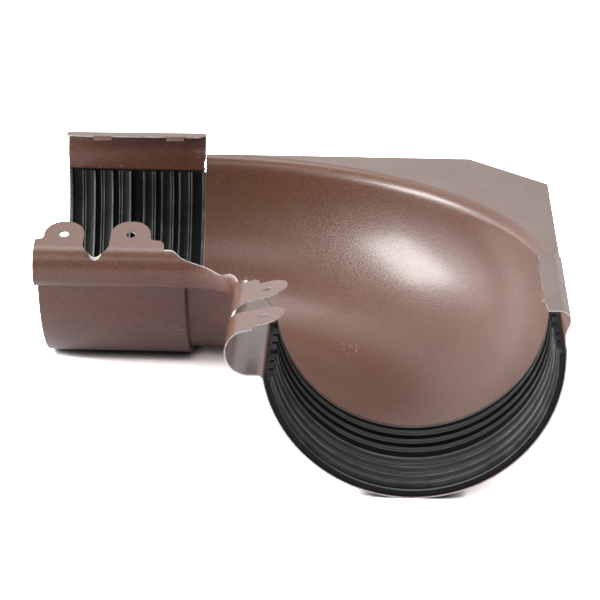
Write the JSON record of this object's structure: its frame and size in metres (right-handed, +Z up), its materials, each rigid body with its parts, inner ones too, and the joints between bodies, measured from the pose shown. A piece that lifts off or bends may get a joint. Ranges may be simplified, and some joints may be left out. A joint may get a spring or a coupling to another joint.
{
  "type": "internal gutter angle",
  "caption": "Quarter-turn inside corner for a half-round rain gutter, pressed from coated sheet, with ribbed rubber seals in both sockets.",
  "frame": {"origin": "centre of the bounding box, on the surface that the part stands on", "axes": "+Z up out of the trough, -X along the left arm and -Y along the front arm"},
  "size_m": [0.2452, 0.2452, 0.0904],
  "materials": {
    "coated_sheet": "satin chocolate-brown coil coating with a fine grain, bare metal on the cut edges",
    "seal_rubber": "matt black ribbed rubber"
  },
  "bodies": {
    "root": {"corner_body": "coated_sheet", "seal_left": "seal_rubber", "seal_front": "seal_rubber"}
  },
  "joints": []
}
